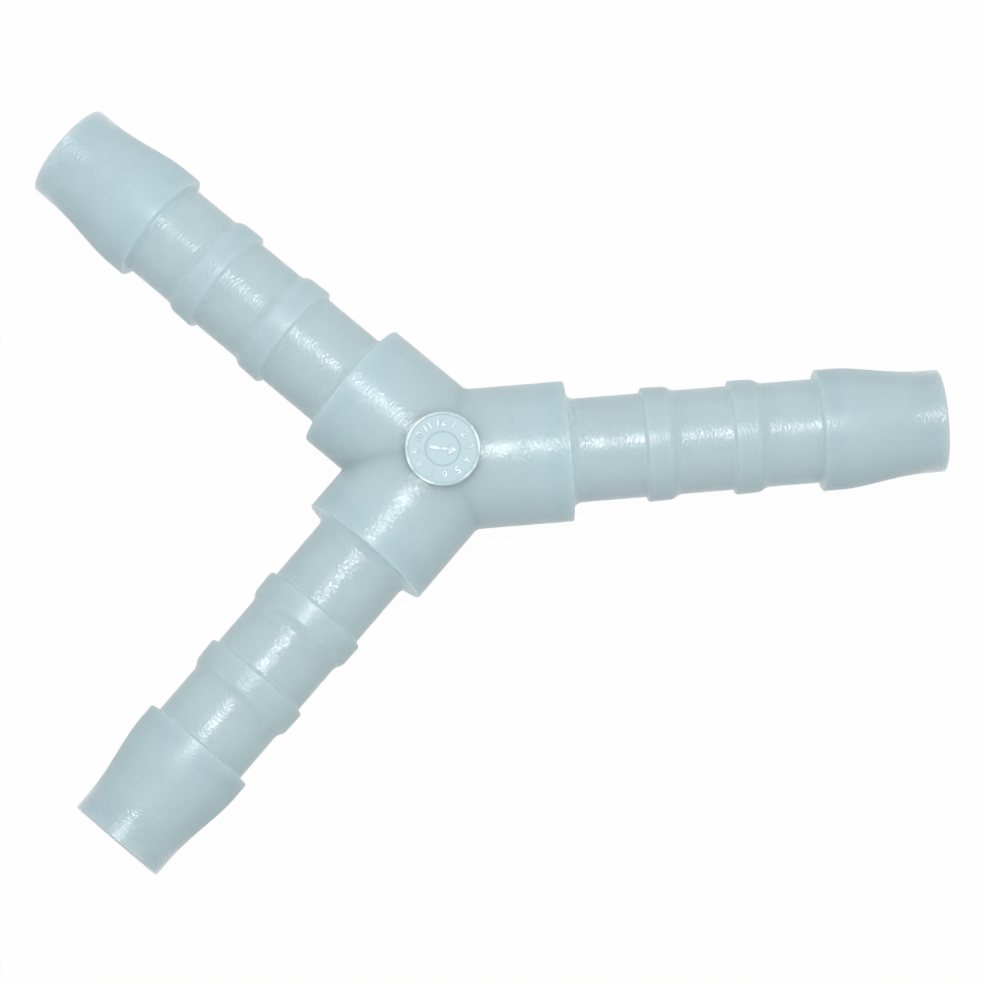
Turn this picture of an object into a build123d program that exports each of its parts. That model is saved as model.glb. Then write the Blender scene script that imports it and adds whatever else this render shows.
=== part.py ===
"""Y-shaped hose connector, moulded in one piece: three barbed arms on a common hub.

The bore axes of the arms cross at the origin and lie in the XY plane. +X runs along the
single arm, the other two arms lean back to either side of it, and +Z comes out of the side
that carries the round pad. The single arm's hub is slightly longer than the other two.
"""

import os

from build123d import *

# Layout, in millimetres and degrees: the direction of each arm, and the length of its hub
ARMS = ((0, 9.7), (135, 9.15), (-135, 9.15))
BORE_DIAMETER = 5.5

# Hub: the thick inner end of every arm, up to the shoulder that stops the hose
HUB_DIAMETER = 10.8
HUB_ROOT_BLEND = 0.8
CROTCH_RADIUS = 0.3

# Stem: the plain tube that the hose is pushed over. From here on, distances along an arm
# are counted from its shoulder
STEM_DIAMETER = 8.0
HOSE_LENGTH = 28.9

# Two low barbs on the stem: a square step facing the hub, a land, a slope towards the mouth
GRIP_BARB_DIAMETER = 8.8
GRIP_BARB_TAPER = 0.1
GRIP_BARB_STARTS = (5.85, 12.6)
GRIP_BARB_LAND = 1.9
GRIP_BARB_SLOPE = 0.55

# The large barb at the end, which runs down in one S-curve to a plain pilot at the mouth
END_BARB_DIAMETER = 9.35
END_BARB_START = 19.35
END_BARB_LAND = 1.3
END_TAPER_CREST_HANDLE = 2.1
END_TAPER_PILOT_HANDLE = 2.5
PILOT_DIAMETER = 7.9
PILOT_LENGTH = 1.5
MOUTH_RIM_CHAMFER = 0.12
MOUTH_BORE_CHAMFER = 0.12

# Round pad on top of the hub: a flat face inside a thin raised rim
PAD_DIAMETER = 5.7
PAD_RISE = 0.12
PAD_RIM_WIDTH = 0.3
PAD_RIM_RISE = 0.12

hub_radius = HUB_DIAMETER / 2
stem_radius = STEM_DIAMETER / 2
grip_radius = GRIP_BARB_DIAMETER / 2
end_radius = END_BARB_DIAMETER / 2
pilot_radius = PILOT_DIAMETER / 2
pad_radius = PAD_DIAMETER / 2
crest_end = END_BARB_START + END_BARB_LAND
pilot_start = HOSE_LENGTH - PILOT_LENGTH


def grip_barb(start):
    """Corners of one low barb, from the foot of its step to the end of its slope."""
    land_end = start + GRIP_BARB_LAND
    return [
        (start, stem_radius),
        (start, grip_radius),
        (land_end, grip_radius - GRIP_BARB_TAPER / 2),
        (land_end + GRIP_BARB_SLOPE, stem_radius),
    ]


def barbed_arm(hub_length):
    """One solid arm along +X, turned from its half section, with its mouth at the far end."""
    shoulder_plane = Plane(origin=(hub_length, 0, 0), x_dir=(1, 0, 0), z_dir=(0, -1, 0))
    with BuildPart() as arm:
        with BuildSketch(shoulder_plane):
            with BuildLine():
                hub_skin = Polyline(
                    (-hub_length, 0),
                    (-hub_length, hub_radius),
                    (0, hub_radius),
                    (0, stem_radius + HUB_ROOT_BLEND),
                )
                root = Bezier(hub_skin @ 1, (0, stem_radius), (HUB_ROOT_BLEND, stem_radius))
                barbs = Polyline(
                    root @ 1,
                    *[corner for start in GRIP_BARB_STARTS for corner in grip_barb(start)],
                    (END_BARB_START, stem_radius),
                    (END_BARB_START, end_radius),
                    (crest_end, end_radius),
                )
                taper = Bezier(
                    barbs @ 1,
                    (crest_end + END_TAPER_CREST_HANDLE, end_radius),
                    (pilot_start - END_TAPER_PILOT_HANDLE, pilot_radius),
                    (pilot_start, pilot_radius),
                )
                Polyline(
                    taper @ 1,
                    (HOSE_LENGTH - MOUTH_RIM_CHAMFER, pilot_radius),
                    (HOSE_LENGTH, pilot_radius - MOUTH_RIM_CHAMFER),
                    (HOSE_LENGTH, 0),
                    (-hub_length, 0),
                )
            make_face()
        revolve(axis=Axis.X)
    return arm.part


with BuildPart() as y_connector:
    # Three arms joined at the middle of the hub, with the creases between them filled
    for angle, hub_length in ARMS:
        add(barbed_arm(hub_length), rotation=(0, 0, angle))
    fillet(y_connector.edges().filter_by(GeomType.ELLIPSE), CROTCH_RADIUS)

    # Round pad, grown up from inside the hub
    with BuildSketch(Plane.XY.offset(stem_radius)):
        Circle(pad_radius)
    extrude(amount=hub_radius + PAD_RISE - stem_radius)
    with BuildSketch(Plane.XY.offset(hub_radius + PAD_RISE)):
        Circle(pad_radius)
        Circle(pad_radius - PAD_RIM_WIDTH, mode=Mode.SUBTRACT)
    extrude(amount=PAD_RIM_RISE)

    # Bores, cored from each mouth to the crossing of the axes, with a broken edge at the mouth
    for angle, hub_length in ARMS:
        arm_length = hub_length + HOSE_LENGTH
        along_arm = Vector(1, 0, 0).rotate(Axis.Z, angle)
        mouth = Plane(origin=along_arm * arm_length, z_dir=-along_arm)
        with BuildSketch(mouth):
            Circle(BORE_DIAMETER / 2)
        extrude(amount=arm_length, mode=Mode.SUBTRACT)
        rims = y_connector.edges().filter_by(GeomType.CIRCLE).sort_by_distance(mouth.origin)
        chamfer(rims[0], MOUTH_BORE_CHAMFER)

y_connector.part.label = "y_connector"
os.makedirs("parts", exist_ok=True)
export_step(y_connector.part, "parts/y_connector.step")
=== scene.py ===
"""Y-shaped hose connector in natural nylon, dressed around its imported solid.

The connector is one moulding: three barbed arms with open bores on a common hub, and a
round pad with a dial of plain numbers on top of the hub. Lengths are in metres, and a
distance along an arm is counted from the shoulder where its hub ends.
"""

import logging
import math
from dataclasses import dataclass
from enum import Enum
from typing import Any

import bmesh
import bpy
from mathutils import Matrix, Vector
from mathutils.geometry import interpolate_bezier


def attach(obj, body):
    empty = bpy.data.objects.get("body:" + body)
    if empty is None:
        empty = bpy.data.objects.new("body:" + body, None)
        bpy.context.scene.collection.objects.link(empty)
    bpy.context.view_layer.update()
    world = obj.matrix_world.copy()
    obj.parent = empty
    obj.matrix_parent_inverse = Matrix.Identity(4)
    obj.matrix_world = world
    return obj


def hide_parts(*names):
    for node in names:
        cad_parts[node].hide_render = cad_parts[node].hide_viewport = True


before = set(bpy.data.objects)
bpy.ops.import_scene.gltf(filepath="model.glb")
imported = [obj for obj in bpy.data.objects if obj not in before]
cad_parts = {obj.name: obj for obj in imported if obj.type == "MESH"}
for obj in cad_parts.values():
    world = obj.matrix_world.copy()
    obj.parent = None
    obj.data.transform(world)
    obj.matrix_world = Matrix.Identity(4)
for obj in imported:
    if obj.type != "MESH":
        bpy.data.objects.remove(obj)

LOG = logging.getLogger("y_connector")
MM = 0.001
CAD_NODE = "y_connector"
BODY = "root"

# How near two vertices have to be to count as one: on a turned form, along the seams
# between the arms, and on the finest details. Edges below the last length are dropped
WELD = 0.001 * MM
SEAM_WELD = 0.002 * MM
FINE_WELD = 0.0005 * MM
SLIVER = 0.0002 * MM

# Facets round a turned form, steps in a rounding and in a fine one, the largest rounding
# that counts as fine, and the angle from which an edge is shaded as a corner
FACETS = 128
ROUNDING_STEPS = 8
FINE_STEPS = 4
FINE_ROUNDING = 0.08 * MM
CORNER_ANGLE = math.radians(32)

NYLON_IOR = 1.53

Span = tuple[float, float]
Corner = tuple[float, float, float]
Colour = tuple[float, float, float, float]


class Arm(Enum):
    """The three arms: the direction of each in degrees, and the length of its hub."""

    SINGLE = (0.0, 9.7 * MM)
    LEFT = (135.0, 9.15 * MM)
    RIGHT = (-135.0, 9.15 * MM)

    @property
    def turn(self) -> Matrix:
        """Rotation that takes +X to the direction of this arm."""
        return Matrix.Rotation(math.radians(self.value[0]), 4, "Z")

    @property
    def direction(self) -> Vector:
        """Unit vector along this arm, away from the hub."""
        return (self.turn @ Vector((1.0, 0.0, 0.0, 0.0))).to_3d()

    @property
    def hub_length(self) -> float:
        """Distance from the crossing of the axes to the shoulder of this arm."""
        return self.value[1]


class Value:
    """A number in a shader, which adds Math nodes when it is used in an expression."""

    def __init__(self, wiring: "Wiring", socket: bpy.types.NodeSocket) -> None:
        """Wraps one output socket of a node."""
        self.wiring = wiring
        self.socket = socket

    def _math(self, operation: str, *operands: "Value | float") -> "Value":
        """Adds one Math node.

        Args:
            operation: the node's operation, such as "MULTIPLY".
            operands: its inputs in order.

        Returns:
            The node's result.
        """
        sockets = dict(enumerate(operands))
        node = self.wiring.node("ShaderNodeMath", {"operation": operation}, sockets)
        return Value(self.wiring, node.outputs[0])

    def __add__(self, other: "Value | float") -> "Value":
        """self + other."""
        return self._math("ADD", self, other)

    __radd__ = __add__

    def __sub__(self, other: "Value | float") -> "Value":
        """self - other."""
        return self._math("SUBTRACT", self, other)

    def __rsub__(self, other: "Value | float") -> "Value":
        """other - self."""
        return self._math("SUBTRACT", other, self)

    def __mul__(self, other: "Value | float") -> "Value":
        """self * other."""
        return self._math("MULTIPLY", self, other)

    __rmul__ = __mul__

    def larger(self, other: "Value | float") -> "Value":
        """The larger of self and other."""
        return self._math("MAXIMUM", self, other)

    def rise(self, start: float, end: float) -> "Value":
        """Smooth step from 0 at start to 1 at end, or down if end is below start.

        Args:
            start: where the step is still 0.
            end: where it has reached 1.

        Returns:
            A value from 0 to 1.
        """
        settings = {"interpolation_type": "SMOOTHSTEP"}
        sockets = {"Value": self, "From Min": start, "From Max": end}
        node = self.wiring.node("ShaderNodeMapRange", settings, sockets)
        return Value(self.wiring, node.outputs["Result"])


class Wiring:
    """Adds nodes to one material or world and joins them."""

    def __init__(self, owner: bpy.types.Material | bpy.types.World) -> None:
        """Empties the owner's node tree.

        Args:
            owner: the material or world whose nodes are added.
        """
        owner.use_nodes = True
        self.tree = owner.node_tree
        self.tree.nodes.clear()

    def node(
        self,
        kind: str,
        settings: dict[str, Any] | None = None,
        sockets: dict[str | int, Any] | None = None,
    ) -> bpy.types.Node:
        """Adds one node.

        Args:
            kind: the node's type.
            settings: its own properties, which are set first.
            sockets: a number, colour, vector, Value or output socket for each input.

        Returns:
            The new node.
        """
        node = self.tree.nodes.new(kind)
        for name, setting in (settings or {}).items():
            setattr(node, name, setting)
        for key, given in (sockets or {}).items():
            source = given.socket if isinstance(given, Value) else given
            if isinstance(source, bpy.types.NodeSocket):
                self.tree.links.new(source, node.inputs[key])
            else:
                node.inputs[key].default_value = source
        return node

    def place(self) -> bpy.types.NodeSocket:
        """The point being shaded, in the piece's own coordinates."""
        return self.node("ShaderNodeTexCoord").outputs["Object"]

    def dot(self, vector: bpy.types.NodeSocket, direction: Vector) -> Value:
        """Measures how far a point lies along a direction.

        Args:
            vector: the point.
            direction: a vector of length 1.

        Returns:
            The distance from the origin.
        """
        settings = {"operation": "DOT_PRODUCT"}
        node = self.node("ShaderNodeVectorMath", settings, {0: vector, 1: direction})
        return Value(self, node.outputs["Value"])

    def noise(self, vector: bpy.types.NodeSocket, scale: float, detail: float) -> Value:
        """Soft noise around 0.5.

        Args:
            vector: where the noise is read.
            scale: patches per metre.
            detail: number of finer layers.

        Returns:
            The noise, about 0.3 to 0.7.
        """
        sockets = {"Vector": vector, "Scale": scale, "Detail": detail}
        return Value(self, self.node("ShaderNodeTexNoise", None, sockets).outputs["Fac"])

    def tint(
        self,
        share: Value,
        first: bpy.types.NodeSocket | Colour,
        second: bpy.types.NodeSocket | Colour,
    ) -> bpy.types.NodeSocket:
        """Goes from one colour to another.

        Args:
            share: 0 for the first colour, 1 for the second.
            first: a colour or an output socket.
            second: a colour or an output socket.

        Returns:
            The mixed colour.
        """
        sockets = {0: share, 6: first, 7: second}
        return self.node("ShaderNodeMix", {"data_type": "RGBA"}, sockets).outputs[2]

    def relief(self, height: Value) -> bpy.types.NodeSocket:
        """Normal of a surface that rises and falls by a height in metres."""
        node = self.node("ShaderNodeBump", None, {"Height": height, "Distance": 1.0})
        return node.outputs["Normal"]


def colour(red: int, green: int, blue: int) -> Colour:
    """Turns a colour as it is seen on a screen into the shader's linear one.

    Args:
        red: level from 0 to 255.
        green: level from 0 to 255.
        blue: level from 0 to 255.

    Returns:
        The linear colour, fully opaque.
    """

    def linear(level: int) -> float:
        """One channel, by the standard screen curve."""
        part = level / 255
        return part / 12.92 if part <= 0.04045 else ((part + 0.055) / 1.055) ** 2.4

    return (linear(red), linear(green), linear(blue), 1.0)


def half_section(corners: list[Corner]) -> bmesh.types.BMesh:
    """Draws a half section in the XZ plane and rounds its corners.

    Args:
        corners: X, Z and the length that the rounding cuts off either side, in order.

    Returns:
        The open chain of edges, ready to be turned.
    """
    section = bmesh.new()
    chain = [section.verts.new((x, 0.0, z)) for x, z, _ in corners]
    for pair in zip(chain, chain[1:]):
        section.edges.new(pair)
    cuts = [cut for _, _, cut in corners]
    for cut in sorted(set(cuts) - {0.0}):
        bmesh.ops.bevel(
            section,
            geom=[vert for vert, own in zip(chain, cuts) if own == cut],
            offset=cut,
            offset_type="OFFSET",
            segments=ROUNDING_STEPS if cut > FINE_ROUNDING else FINE_STEPS,
            profile=0.5,
            affect="VERTICES",
            material=-1,
        )
    return section


def turn_round(section: bmesh.types.BMesh, axis: tuple[float, float, float]) -> None:
    """Turns a half section all the way round an axis through the origin.

    Args:
        section: the open chain of edges, which becomes the turned form.
        axis: direction of the axis.
    """
    bmesh.ops.spin(
        section,
        geom=[*section.verts, *section.edges],
        cent=(0.0, 0.0, 0.0),
        axis=axis,
        dvec=(0.0, 0.0, 0.0),
        angle=math.tau,
        steps=FACETS,
        use_merge=True,
        use_duplicate=False,
    )
    bmesh.ops.remove_doubles(section, verts=section.verts, dist=WELD)


def finished_piece(
    name: str, shape: bmesh.types.BMesh, finish: bpy.types.Material
) -> bpy.types.Object:
    """Turns a shape into a piece of the connector, riding on its body.

    Args:
        name: name of the piece.
        shape: its mesh, which is freed.
        finish: its material.

    Returns:
        The new object.
    """
    bmesh.ops.dissolve_degenerate(shape, dist=SLIVER, edges=shape.edges)
    bmesh.ops.recalc_face_normals(shape, faces=shape.faces)
    for face in shape.faces:
        face.smooth = True
    for edge in shape.edges:
        edge.smooth = edge.calc_face_angle(0.0) < CORNER_ANGLE
    mesh = bpy.data.meshes.new(name)
    shape.to_mesh(mesh)
    shape.free()
    mesh.materials.append(finish)
    piece = bpy.data.objects.new(name, mesh)
    bpy.context.scene.collection.objects.link(piece)
    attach(piece, BODY)
    LOG.info("piece %s: %d faces", name, len(mesh.polygons))
    return piece


@dataclass
class Moulding:
    """The connector itself: three turned arms, mitred where they meet at the hub."""

    bore_radius: float = 2.75 * MM
    hub_radius: float = 5.4 * MM
    stem_radius: float = 4.0 * MM
    root_blend: float = 0.8 * MM
    grip_radius: float = 4.4 * MM
    grip_taper: float = 0.05 * MM
    grip_starts: tuple[float, float] = (5.85 * MM, 12.6 * MM)
    grip_land: float = 1.9 * MM
    grip_slope: float = 0.55 * MM
    end_radius: float = 4.675 * MM
    end_start: float = 19.35 * MM
    end_land: float = 1.3 * MM
    crest_handle: float = 2.1 * MM
    pilot_handle: float = 2.5 * MM
    pilot_radius: float = 3.95 * MM
    pilot_length: float = 1.5 * MM
    hose_length: float = 28.9 * MM
    hub_rounding: float = 0.08 * MM
    foot_rounding: float = 0.2 * MM
    grip_rounding: float = 0.22 * MM
    slope_rounding: float = 0.25 * MM
    end_rounding: float = 0.14 * MM
    mouth_chamfer: float = 0.12 * MM
    crotch_rounding: float = 0.3 * MM
    crotch_angle: float = math.radians(9)
    crotch_reach: float = 4.125 * MM
    overrun: float = 0.5 * MM
    mitre_clearance: float = 0.27 * MM
    taper_points: int = 18
    ring_spacing: float = 0.6 * MM

    @property
    def crest_end(self) -> float:
        """Where the end barb begins to run down."""
        return self.end_start + self.end_land

    def build(self, finish: bpy.types.Material) -> bpy.types.Object:
        """Makes the moulding and puts it in the scene.

        Args:
            finish: its material.

        Returns:
            The new object.
        """
        whole = bmesh.new()
        for arm in Arm:
            self._add_arm(whole, arm)
        bmesh.ops.remove_doubles(whole, verts=whole.verts, dist=SEAM_WELD)
        self._fill_creases(whole)
        return finished_piece("y_connector_moulding", whole, finish)

    def _outline(self) -> list[Corner]:
        """Corners of the half section from the hub's shoulder to the bore at the mouth.

        Returns:
            For each, X along the arm from its shoulder, Z out from its axis, and the
            length cut off either side of it by its rounding.
        """
        corners = [
            (0.0, self.hub_radius, self.hub_rounding),
            (0.0, self.stem_radius, self.root_blend),
        ]
        for start in self.grip_starts:
            land_end = start + self.grip_land
            corners += [
                (start, self.stem_radius, self.foot_rounding),
                (start, self.grip_radius, self.grip_rounding),
                (land_end, self.grip_radius - self.grip_taper, self.grip_rounding),
                (land_end + self.grip_slope, self.stem_radius, self.slope_rounding),
            ]
        pilot = self.hose_length - self.pilot_length
        taper = interpolate_bezier(
            Vector((self.crest_end, 0.0, self.end_radius)),
            Vector((self.crest_end + self.crest_handle, 0.0, self.end_radius)),
            Vector((pilot - self.pilot_handle, 0.0, self.pilot_radius)),
            Vector((pilot, 0.0, self.pilot_radius)),
            self.taper_points,
        )
        chamfer = self.mouth_chamfer
        corners += [
            (self.end_start, self.stem_radius, self.foot_rounding),
            (self.end_start, self.end_radius, self.end_rounding),
            *[(point.x, point.z, 0.0) for point in taper],
            (self.hose_length - chamfer, self.pilot_radius, 0.0),
            (self.hose_length, self.pilot_radius - chamfer, 0.0),
            (self.hose_length, self.bore_radius + chamfer, 0.0),
            (self.hose_length - chamfer, self.bore_radius, 0.0),
        ]
        return corners

    def _add_arm(self, whole: bmesh.types.BMesh, arm: Arm) -> None:
        """Turns one arm, mitres it against the other two and adds it to the whole.

        Args:
            whole: mesh of the moulding.
            arm: which arm.
        """
        behind = -arm.hub_length - self.overrun
        clear = -arm.hub_length + self.hub_radius + self.mitre_clearance
        turned = half_section(
            [
                (behind, self.hub_radius, 0.0),
                (clear, self.hub_radius, 0.0),
                *self._outline(),
                (clear, self.bore_radius, 0.0),
                (behind, self.bore_radius, 0.0),
            ]
        )
        self._divide_runs(turned, -arm.hub_length + self.hub_radius)
        bmesh.ops.translate(turned, vec=(arm.hub_length, 0.0, 0.0), verts=turned.verts)
        turn_round(turned, (1.0, 0.0, 0.0))
        bmesh.ops.transform(turned, matrix=arm.turn, verts=turned.verts)
        for other in Arm:
            if other is not arm:
                self._mitre(turned, arm.direction - other.direction)
        mesh = bpy.data.meshes.new("arm")
        turned.to_mesh(mesh)
        turned.free()
        whole.from_mesh(mesh)
        bpy.data.meshes.remove(mesh)
        LOG.info("arm %s turned", arm.name.lower())

    def _divide_runs(self, turned: bmesh.types.BMesh, clear: float) -> None:
        """Divides the long runs of the half section outside the mitres.

        Args:
            turned: the half section.
            clear: X from which it is clear of the mitres.
        """
        for edge in list(turned.edges):
            nearest = min(vert.co.x for vert in edge.verts)
            cuts = int(edge.calc_length() / self.ring_spacing)
            if cuts and nearest > clear:
                bmesh.ops.subdivide_edges(turned, edges=[edge], cuts=cuts)

    def _mitre(self, turned: bmesh.types.BMesh, away: Vector) -> None:
        """Cuts the arm off at the plane half way to another arm.

        Args:
            turned: mesh of the arm.
            away: normal of the plane, towards the side that stays.
        """
        bmesh.ops.bisect_plane(
            turned,
            geom=[*turned.verts, *turned.edges, *turned.faces],
            dist=FINE_WELD,
            plane_co=(0.0, 0.0, 0.0),
            plane_no=away.normalized(),
            clear_inner=True,
        )

    def _fill_creases(self, whole: bmesh.types.BMesh) -> None:
        """Rounds the creases between the arms, outside the bores.

        Args:
            whole: mesh of the moulding, with its three arms joined.
        """
        creases = [
            edge
            for edge in whole.edges
            if edge.is_manifold
            and edge.calc_face_angle(0.0) > self.crotch_angle
            and all(self._on_mitre(vert.co) for vert in edge.verts)
            and (edge.verts[0].co + edge.verts[1].co).length / 2 > self.crotch_reach
        ]
        LOG.info("%d crease edges rounded", len(creases))
        bmesh.ops.bevel(
            whole,
            geom=creases,
            offset=self.crotch_rounding,
            offset_type="OFFSET",
            segments=4,
            profile=0.5,
            affect="EDGES",
            material=-1,
            clamp_overlap=True,
        )

    def _on_mitre(self, point: Vector) -> bool:
        """Whether a point lies on the plane half way between its two nearest arms."""
        reaches = sorted(point.dot(arm.direction) for arm in Arm)
        return reaches[2] - reaches[1] < SEAM_WELD


@dataclass
class DialPad:
    """The round pad on the hub: a flat face in a thin rim, with raised numbers round it."""

    radius: float = 2.85 * MM
    foot: float = 4.2 * MM
    foot_flare: float = 0.05 * MM
    face: float = 5.52 * MM
    rim_width: float = 0.3 * MM
    rim_rise: float = 0.12 * MM
    rim_draft: float = 0.03 * MM
    rim_slope: float = 0.19 * MM
    rim_rounding: float = 0.035 * MM
    ring_radius: float = 1.3 * MM
    ring_depth: float = 0.05 * MM
    ring_reach: float = 0.08 * MM
    mark_rise: float = 0.09 * MM
    mark_sink: float = 0.05 * MM
    pointer_tail: float = 1.0 * MM
    pointer_neck: float = 0.46 * MM
    pointer_tip: float = 1.1 * MM
    pointer_width: float = 0.26 * MM
    pointer_head: float = 0.9 * MM
    pointer_rounding: float = 0.035 * MM
    pointer_angle: float = math.radians(-12.0)
    numbers: int = 12
    number_size: float = 0.8 * MM
    number_radius: float = 1.98 * MM
    number_rounding: float = 0.02 * MM

    def build(self, finish: bpy.types.Material) -> list[bpy.types.Object]:
        """Makes the pad and its dial.

        Args:
            finish: their material.

        Returns:
            The new objects.
        """
        return [self._pad(finish), self._pointer(finish), self._numbers(finish)]

    def _pad(self, finish: bpy.types.Material) -> bpy.types.Object:
        """Makes the pad with its rim, turned about +Z.

        Args:
            finish: its material.

        Returns:
            The new object.
        """
        rim_top = self.face + self.rim_rise
        inner = self.radius - self.rim_width
        turned = half_section(
            [
                (self.radius + self.foot_flare, self.foot, 0.0),
                (self.radius, self.face, 0.0),
                (self.radius - self.rim_draft, rim_top, self.rim_rounding),
                (inner + self.rim_slope, rim_top, self.rim_rounding),
                (inner, self.face, self.rim_rounding),
                (self.ring_radius + self.ring_reach, self.face, 0.0),
                (self.ring_radius, self.face - self.ring_depth, 0.0),
                (self.ring_radius - self.ring_reach, self.face, 0.0),
                (0.0, self.face, 0.0),
            ]
        )
        turn_round(turned, (0.0, 0.0, 1.0))
        foot = [edge for edge in turned.edges if edge.is_boundary]
        bmesh.ops.holes_fill(turned, edges=foot)
        return finished_piece("dial_pad", turned, finish)

    def _pointer(self, finish: bpy.types.Material) -> bpy.types.Object:
        """Makes the raised arrow across the middle of the dial.

        Args:
            finish: its material.

        Returns:
            The new object.
        """
        marks = bmesh.new()
        side, wing = self.pointer_width / 2, self.pointer_head / 2
        outline = (
            (-self.pointer_tail, -side),
            (self.pointer_neck, -side),
            (self.pointer_neck, -wing),
            (self.pointer_tip, 0.0),
            (self.pointer_neck, wing),
            (self.pointer_neck, side),
            (-self.pointer_tail, side),
        )
        face = marks.faces.new([marks.verts.new((x, y, 0.0)) for x, y in outline])
        grown = bmesh.ops.extrude_face_region(marks, geom=[face])
        lifted = [item for item in grown["geom"] if isinstance(item, bmesh.types.BMVert)]
        rise = self.mark_rise + self.mark_sink
        bmesh.ops.translate(marks, vec=(0.0, 0.0, rise), verts=lifted)
        top = [edge for edge in marks.edges if all(vert in lifted for vert in edge.verts)]
        bmesh.ops.bevel(
            marks,
            geom=top,
            offset=self.pointer_rounding,
            offset_type="OFFSET",
            segments=3,
            profile=0.5,
            affect="EDGES",
            material=-1,
        )
        place = Matrix.Translation((0.0, 0.0, self.face - self.mark_sink))
        turn = Matrix.Rotation(self.pointer_angle, 4, "Z")
        bmesh.ops.transform(marks, matrix=place @ turn, verts=marks.verts)
        return finished_piece("dial_pointer", marks, finish)

    def _numbers(self, finish: bpy.types.Material) -> bpy.types.Object:
        """Makes the plain numbers round the dial, with their heads outwards.

        Args:
            finish: their material.

        Returns:
            The new object.
        """
        marks = bmesh.new()
        for number in range(1, self.numbers + 1):
            angle = -math.tau * number / self.numbers
            self._add_number(marks, str(number), Matrix.Rotation(angle, 4, "Z"))
        bmesh.ops.remove_doubles(marks, verts=marks.verts, dist=FINE_WELD)
        return finished_piece("dial_numbers", marks, finish)

    def _add_number(self, marks: bmesh.types.BMesh, text: str, turn: Matrix) -> None:
        """Adds one number, made at the top of the dial and turned to its place.

        Args:
            marks: mesh of the numbers.
            text: the number.
            turn: rotation about the middle of the dial.
        """
        curve = bpy.data.curves.new("number", "FONT")
        curve.body = text
        curve.size = self.number_size
        curve.align_x = "CENTER"
        curve.align_y = "CENTER"
        curve.resolution_u = 4
        curve.extrude = (self.mark_rise + self.mark_sink) / 2 - self.number_rounding
        curve.bevel_depth = self.number_rounding
        curve.bevel_resolution = 1
        holder = bpy.data.objects.new("number", curve)
        mesh = bpy.data.meshes.new_from_object(holder)
        middle = self.face + (self.mark_rise - self.mark_sink) / 2
        mesh.transform(turn @ Matrix.Translation((0.0, self.number_radius, middle)))
        marks.from_mesh(mesh)
        bpy.data.meshes.remove(mesh)
        bpy.data.objects.remove(holder)
        bpy.data.curves.remove(curve)


@dataclass(frozen=True)
class Band:
    """A stretch along an arm where a look fades in, holds and fades out."""

    start: float
    full: float
    fading: float
    end: float
    strength: float = 1.0

    def moved(self, distance: float, factor: float = 1.0) -> "Band":
        """The same band further along the arm, with its strength times a factor."""
        places = (self.start, self.full, self.fading, self.end)
        return Band(*(place + distance for place in places), self.strength * factor)

    def along(self, reach: Value) -> Value:
        """Strength of the look at a distance along the arm."""
        inside = reach.rise(self.start, self.full) * reach.rise(self.end, self.fading)
        return inside * self.strength


@dataclass(frozen=True)
class Skin:
    """The point being shaded on the moulding, and how far along the nearest arm it is."""

    wiring: Wiring
    place: bpy.types.NodeSocket
    reach: Value

    @classmethod
    def of(cls, wiring: Wiring) -> "Skin":
        """Reads the point from the shader.

        Args:
            wiring: the material's nodes.

        Returns:
            The point and its distance along the nearest arm, from the shoulder.
        """
        place = wiring.place()
        reaches = [wiring.dot(place, arm.direction) - arm.hub_length for arm in Arm]
        return cls(wiring, place, reaches[0].larger(reaches[1]).larger(reaches[2]))

    def noise(self, scale: float, detail: float) -> Value:
        """Soft noise around 0.5, in patches of the given number per metre."""
        return self.wiring.noise(self.place, scale, detail)

    def on(self, bands: list[Band]) -> Value:
        """All the bands of one look, added up."""
        first, *others = (band.along(self.reach) for band in bands)
        return sum(others, start=first)


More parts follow.
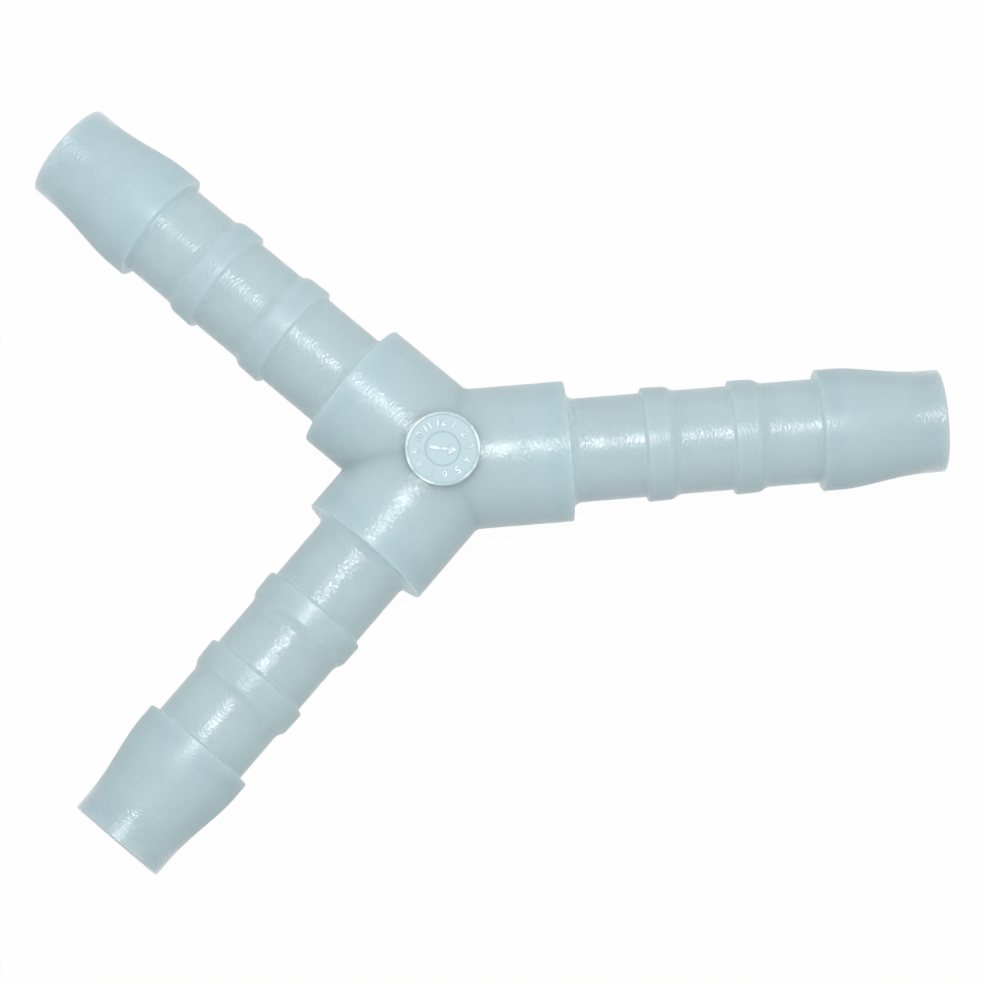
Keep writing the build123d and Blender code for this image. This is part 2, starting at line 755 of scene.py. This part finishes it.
@dataclass(frozen=True)
class NaturalNylon:
    """Uncoloured moulded nylon: milky, slightly translucent, with a fine turned gloss.

    Light that enters the nylon spreads further than the shader carries it. So painted light
    makes the inner corners of the steps a little paler than the rest, and painted shade
    makes the outer edges dimmer.
    """

    body: Colour = colour(178, 203, 209)
    hub: Colour = colour(175, 197, 202)
    barb: Colour = colour(171, 194, 199)
    thin: Colour = colour(156, 179, 187)
    # Painted cool light: the bluer colour painted on the left arm, as if lit by bluer light
    painted_cool_light: Colour = colour(184, 215, 227)
    # Painted light: the paler colour painted into the inner corners of the steps
    crease: Colour = colour(204, 229, 235)
    # Painted shade: the dimmer colour painted onto the outer edges of the hub and the end barb
    painted_shade_ridge: Colour = colour(150, 175, 181)
    depth_seen_into: float = 5.5 * MM
    hub_tone: Span = (0.8 * MM, -3.5 * MM)
    barb_tone: Band = Band(-0.3 * MM, 0.1 * MM, 2.05 * MM, 2.45 * MM)
    end_tone: Band = Band(-0.3 * MM, 0.1 * MM, 10.55 * MM, 10.95 * MM)
    thin_mouth: Span = (25.5 * MM, 28.0 * MM)
    # Painted cool light: where along the left arm it fades in, and how strongly
    painted_cool_light_span: Span = (4.0 * MM, 14.0 * MM)
    painted_cool_light_share: float = 0.2
    cloud_scale: float = 260.0
    cloud_range: Span = (0.35, 0.75)
    cloud_share: float = 0.3
    # Painted light: where paler colour is painted in at the shoulder, the steps and the slopes
    shoulder_painted_light: tuple[Band, ...] = (
        Band(-0.02 * MM, 0.05 * MM, 0.35 * MM, 1.3 * MM, 0.56),
        Band(-0.02 * MM, 0.05 * MM, 0.6 * MM, 2.8 * MM, 0.18),
    )
    step_painted_light: tuple[Band, ...] = (
        Band(-0.42 * MM, -0.12 * MM, -0.02 * MM, 0.02 * MM, 0.35),
        Band(-1.4 * MM, -0.3 * MM, -0.02 * MM, 0.02 * MM, 0.13),
    )
    end_painted_light_factor: float = 1.25
    slope_painted_light: Band = Band(-0.5 * MM, -0.1 * MM, 0.15 * MM, 0.6 * MM, 0.14)
    # Painted shade: where the hub's outer edge and the end barb's crest are painted dimmer
    hub_painted_shade: Band = Band(-2.8 * MM, -0.4 * MM, -0.02 * MM, 0.02 * MM, 0.42)
    end_painted_shade: Band = Band(0.0, 0.05 * MM, 0.3 * MM, 2.6 * MM, 0.32)
    gloss: float = 0.29
    hub_dulling: float = 0.025
    hub_edge: Span = (0.1 * MM, -0.1 * MM)
    patch_scale: float = 900.0
    patch_depth: float = 0.05
    satin: float = 0.35
    end_satin: float = 0.4
    grip_satin: Band = Band(-0.05 * MM, 0.05 * MM, 1.8 * MM, 2.0 * MM)
    crest_satin: Band = Band(-0.05 * MM, 0.05 * MM, 1.2 * MM, 1.4 * MM)
    taper_satin: Band = Band(-0.05 * MM, 0.05 * MM, 2.75 * MM, 5.95 * MM)
    pilot_gloss: float = 0.28
    pilot_coat: Span = (26.0 * MM, 27.4 * MM)
    grain_scale: float = 5500.0
    grain_depth: float = 13e-6
    ring_spread: tuple[float, float, float] = (0.5, 0.5, 0.5)
    ring_depth: float = 43e-6
    ring_patch_scale: float = 350.0
    ring_patch_range: Span = (0.38, 0.62)
    ring_patch_share: float = 0.9
    ring_least: float = 0.4
    calm_taper: Band = Band(18.8 * MM, 19.6 * MM, 26.0 * MM, 27.2 * MM, 0.5)
    pilot_rings: Span = (26.0 * MM, 27.2 * MM)
    pilot_ring_share: float = 1.2

    def make(self, shape: Moulding) -> bpy.types.Material:
        """Builds the material of the moulding.

        Args:
            shape: the moulding, whose steps the looks keep to.

        Returns:
            The material.
        """
        material = bpy.data.materials.new("natural_nylon")
        wiring = Wiring(material)
        skin = Skin.of(wiring)
        shader = wiring.node(
            "ShaderNodeBsdfPrincipled",
            {"subsurface_method": "RANDOM_WALK"},
            {
                "Base Color": self._shade(skin, shape),
                "Roughness": self._roughness(skin, shape),
                "IOR": NYLON_IOR,
                "Subsurface Weight": 1.0,
                "Subsurface Radius": (1.0, 1.0, 1.0),
                "Subsurface Scale": self.depth_seen_into,
                "Coat Weight": skin.reach.rise(*self.pilot_coat),
                "Coat Roughness": self.pilot_gloss,
                "Normal": self._relief(skin),
            },
        )
        wiring.node("ShaderNodeOutputMaterial", None, {"Surface": shader.outputs[0]})
        return material

    def _shade(self, skin: Skin, shape: Moulding) -> bpy.types.NodeSocket:
        """Colours hub, stem, barbs and thin mouth, each in its own tone and faintly cloudy,
        with painted light in the inner corners, painted shade on the outer edges and a painted
        cool light on the left arm.

        Args:
            skin: the point being shaded.
            shape: the moulding, whose steps the tones keep to.

        Returns:
            The colour.
        """
        tint, reach = skin.wiring.tint, skin.reach
        barbs = [self.barb_tone.moved(start) for start in shape.grip_starts]
        barbs.append(self.end_tone.moved(shape.end_start))
        painted_shade_ridges = [self.hub_painted_shade, self.end_painted_shade.moved(shape.end_start)]
        base = tint(reach.rise(*self.hub_tone), self.body, self.hub)
        base = tint(skin.on(barbs), base, self.barb)
        base = tint(reach.rise(*self.thin_mouth), base, self.thin)
        # Painted light: the inner corners are painted paler, standing in for light spread
        # inside the nylon
        base = tint(skin.on(self._painted_light_bands(shape)), base, self.crease)
        # Painted shade: the hub's outer edge and the end barb's crest are painted dimmer
        base = tint(skin.on(painted_shade_ridges), base, self.painted_shade_ridge)
        cloud = skin.noise(self.cloud_scale, 2.0).rise(*self.cloud_range)
        base = tint(cloud * self.cloud_share, base, self.hub)
        # Painted cool light: the left arm is tinted a little bluer, as if lit by bluer light
        painted_cool_light_mask = skin.wiring.dot(skin.place, Arm.LEFT.direction).rise(*self.painted_cool_light_span)
        return tint(painted_cool_light_mask * self.painted_cool_light_share, base, self.painted_cool_light)

    def _painted_light_bands(self, shape: Moulding) -> list[Band]:
        """Lists the inner corners of the shoulder, the steps and the slopes of the barbs, where
        light is painted in.

        Args:
            shape: the moulding.

        Returns:
            The bands in which paler colour is painted in as painted light.
        """
        bands = list(self.shoulder_painted_light)
        for crease in self.step_painted_light:
            bands += [crease.moved(start) for start in shape.grip_starts]
            bands.append(crease.moved(shape.end_start, self.end_painted_light_factor))
        slope_end = shape.grip_land + shape.grip_slope
        bands += [self.slope_painted_light.moved(start + slope_end) for start in shape.grip_starts]
        return bands

    def _roughness(self, skin: Skin, shape: Moulding) -> Value:
        """Makes hub and stems glossy and the barbs satin, all uneven in patches.

        Args:
            skin: the point being shaded.
            shape: the moulding, whose barbs the satin keeps to.

        Returns:
            The roughness.
        """
        satin, end_satin = self.satin - self.gloss, self.end_satin - self.gloss
        bands = [self.grip_satin.moved(start, satin) for start in shape.grip_starts]
        bands.append(self.crest_satin.moved(shape.end_start, satin))
        bands.append(self.taper_satin.moved(shape.crest_end, end_satin))
        patches = (skin.noise(self.patch_scale, 3.0) - 0.5) * self.patch_depth
        hub = skin.reach.rise(*self.hub_edge) * self.hub_dulling
        return patches + hub + self.gloss + skin.on(bands)

    def _relief(self, skin: Skin) -> bpy.types.NodeSocket:
        """Adds the faint rings left by the turned mould, and a fine grain.

        Args:
            skin: the point being shaded.

        Returns:
            The normal.
        """
        along = skin.wiring.node("ShaderNodeCombineXYZ", None, {"Z": skin.reach}).outputs[0]
        across_rings = skin.wiring.node(
            "ShaderNodeVectorMath",
            {"operation": "MULTIPLY_ADD"},
            {0: skin.place, 1: self.ring_spread, 2: along},
        )
        rings = skin.wiring.noise(across_rings.outputs[0], self.grain_scale, 1.0)
        grain = skin.noise(self.grain_scale, 1.0)
        patches = skin.noise(self.ring_patch_scale, 1.0).rise(*self.ring_patch_range)
        uneven = patches * self.ring_patch_share + self.ring_least
        pilot = skin.reach.rise(*self.pilot_rings) * self.pilot_ring_share
        strength = uneven * (1.0 - self.calm_taper.along(skin.reach)) + pilot
        return skin.wiring.relief(rings * strength * self.ring_depth + grain * self.grain_depth)


@dataclass(frozen=True)
class DialNylon:
    """The same nylon on the pad: even and duller, with a painted glint, pale and patchy, on top
    of the raised marks.
    """

    face: Colour = colour(172, 196, 202)
    # Painted glint: the pale colour painted on top of the raised marks, and the heights where
    # it fades in
    raised: Colour = colour(232, 243, 245)
    glint_from: float = 0.04 * MM
    glint_to: float = 0.085 * MM
    patch_scale: float = 900.0
    glint_patch_range: Span = (0.36, 0.62)
    glint_patch_share: float = 0.85
    least_glint: float = 0.08
    dullness: float = 0.5
    patch_depth: float = 0.1
    grain_scale: float = 3000.0
    grain_depth: float = 5e-6

    def make(self, face_height: float) -> bpy.types.Material:
        """Builds the material.

        Args:
            face_height: height of the pad's flat face above the axes.

        Returns:
            The material.
        """
        material = bpy.data.materials.new("dial_nylon")
        wiring = Wiring(material)
        place = wiring.place()
        height = wiring.dot(place, Vector((0.0, 0.0, 1.0)))
        # Painted glint: the tops of the raised marks are painted pale, unevenly in patches
        raised = height.rise(face_height + self.glint_from, face_height + self.glint_to)
        glint_patches = wiring.noise(place, self.patch_scale, 2.0).rise(*self.glint_patch_range)
        painted_glint = raised * (glint_patches * self.glint_patch_share + self.least_glint)
        patches = wiring.noise(place, self.patch_scale, 3.0) - 0.5
        grain = wiring.noise(place, self.grain_scale, 2.0)
        shader = wiring.node(
            "ShaderNodeBsdfPrincipled",
            None,
            {
                "Base Color": wiring.tint(painted_glint, self.face, self.raised),
                "Roughness": patches * self.patch_depth + self.dullness,
                "IOR": NYLON_IOR,
                "Normal": wiring.relief(grain * self.grain_depth),
            },
        )
        wiring.node("ShaderNodeOutputMaterial", None, {"Surface": shader.outputs[0]})
        return material


@dataclass(frozen=True)
class Lamp:
    """One round lamp over the connector, aimed at the middle of its hub."""

    name: str
    place: tuple[float, float, float]
    size: float
    power: float

    def hang(self) -> None:
        """Puts the lamp in the scene."""
        light = bpy.data.lights.new(self.name, "AREA")
        light.shape = "DISK"
        light.size = self.size
        light.energy = self.power
        holder = bpy.data.objects.new(self.name, light)
        holder.location = self.place
        aim = -Vector(self.place)
        holder.rotation_euler = aim.to_track_quat("-Z", "Y").to_euler()
        bpy.context.scene.collection.objects.link(holder)


@dataclass
class Studio:
    """The pale floor, the light and the camera.

    The small lamp draws the bright lines along the arms, and the wide one their glow.
    """

    floor_level: float = -5.4 * MM
    floor_side: float = 3.0
    floor_grey: Colour = (0.62, 0.62, 0.62, 1.0)
    floor_glow: float = 0.975
    white: Colour = (1.0, 1.0, 1.0, 1.0)
    sky: float = 0.66
    lamps: tuple[Lamp, ...] = (
        Lamp("flash", (8.0 * MM, 12.0 * MM, 287.0 * MM), 9.0 * MM, 0.35),
        Lamp("diffuser", (8.0 * MM, 12.0 * MM, 290.0 * MM), 90.0 * MM, 0.06),
    )
    camera_place: tuple[float, float, float] = (-6.03 * MM, -49.63 * MM, 277.31 * MM)
    camera_turn: tuple[float, float, float] = (9.732, -1.149, -4.979)
    lens: float = 134.16
    sensor: float = 36.0
    nearest_seen: float = 10 * MM
    farthest_seen: float = 20.0

    def build(self) -> None:
        """Makes the floor, the lights and the camera."""
        self._floor()
        self._sky()
        for lamp in self.lamps:
            lamp.hang()
        self._camera()
        bpy.context.scene.view_settings.view_transform = "Standard"

    def _floor(self) -> None:
        """A wide pale floor that shows almost white and keeps a soft shadow."""
        shape = bmesh.new()
        bmesh.ops.create_grid(shape, x_segments=1, y_segments=1, size=self.floor_side / 2)
        bmesh.ops.translate(shape, vec=(0.0, 0.0, self.floor_level), verts=shape.verts)
        mesh = bpy.data.meshes.new("floor")
        shape.to_mesh(mesh)
        shape.free()
        material = bpy.data.materials.new("pale_floor")
        wiring = Wiring(material)
        matt = wiring.node("ShaderNodeBsdfDiffuse", None, {"Color": self.floor_grey})
        glow = wiring.node("ShaderNodeEmission", None, {"Color": self.white})
        share = self._seen(wiring) * self.floor_glow
        mixed = wiring.node(
            "ShaderNodeMixShader", None, {0: share, 1: matt.outputs[0], 2: glow.outputs[0]}
        )
        wiring.node("ShaderNodeOutputMaterial", None, {"Surface": mixed.outputs[0]})
        mesh.materials.append(material)
        floor = bpy.data.objects.new("floor", mesh)
        bpy.context.scene.collection.objects.link(floor)

    def _seen(self, wiring: Wiring) -> Value:
        """Tells where a surface is seen directly, in a gloss or through a clear part.

        Args:
            wiring: the nodes of its material or of the world.

        Returns:
            1 where it is seen so, and 0 where it only lights something.
        """
        path = wiring.node("ShaderNodeLightPath")
        camera, gloss, clear = (
            Value(wiring, path.outputs[name])
            for name in ("Is Camera Ray", "Is Glossy Ray", "Is Transmission Ray")
        )
        return camera.larger(gloss).larger(clear)

    def _sky(self) -> None:
        """Even soft light from all round, seen as white."""
        world = bpy.data.worlds.new("soft_light")
        bpy.context.scene.world = world
        wiring = Wiring(world)
        strength = self._seen(wiring) * (1.0 - self.sky) + self.sky
        light = wiring.node(
            "ShaderNodeBackground", None, {"Color": self.white, "Strength": strength}
        )
        wiring.node("ShaderNodeOutputWorld", None, {"Surface": light.outputs[0]})

    def _camera(self) -> None:
        """The camera, almost overhead."""
        camera = bpy.data.cameras.new("camera")
        camera.lens = self.lens
        camera.sensor_width = self.sensor
        camera.clip_start = self.nearest_seen
        camera.clip_end = self.farthest_seen
        holder = bpy.data.objects.new("camera", camera)
        holder.location = self.camera_place
        holder.rotation_euler = [math.radians(angle) for angle in self.camera_turn]
        bpy.context.scene.collection.objects.link(holder)
        bpy.context.scene.camera = holder


def main() -> None:
    """Builds the connector and its studio."""
    logging.basicConfig(level=logging.INFO, format="%(name)s: %(message)s")
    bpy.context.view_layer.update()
    shape = Moulding()
    moulding = shape.build(NaturalNylon().make(shape))
    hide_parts(CAD_NODE)
    pad = DialPad()
    pad.build(DialNylon().make(pad.face))
    Studio().build()


if __name__ == "__main__":
    main()
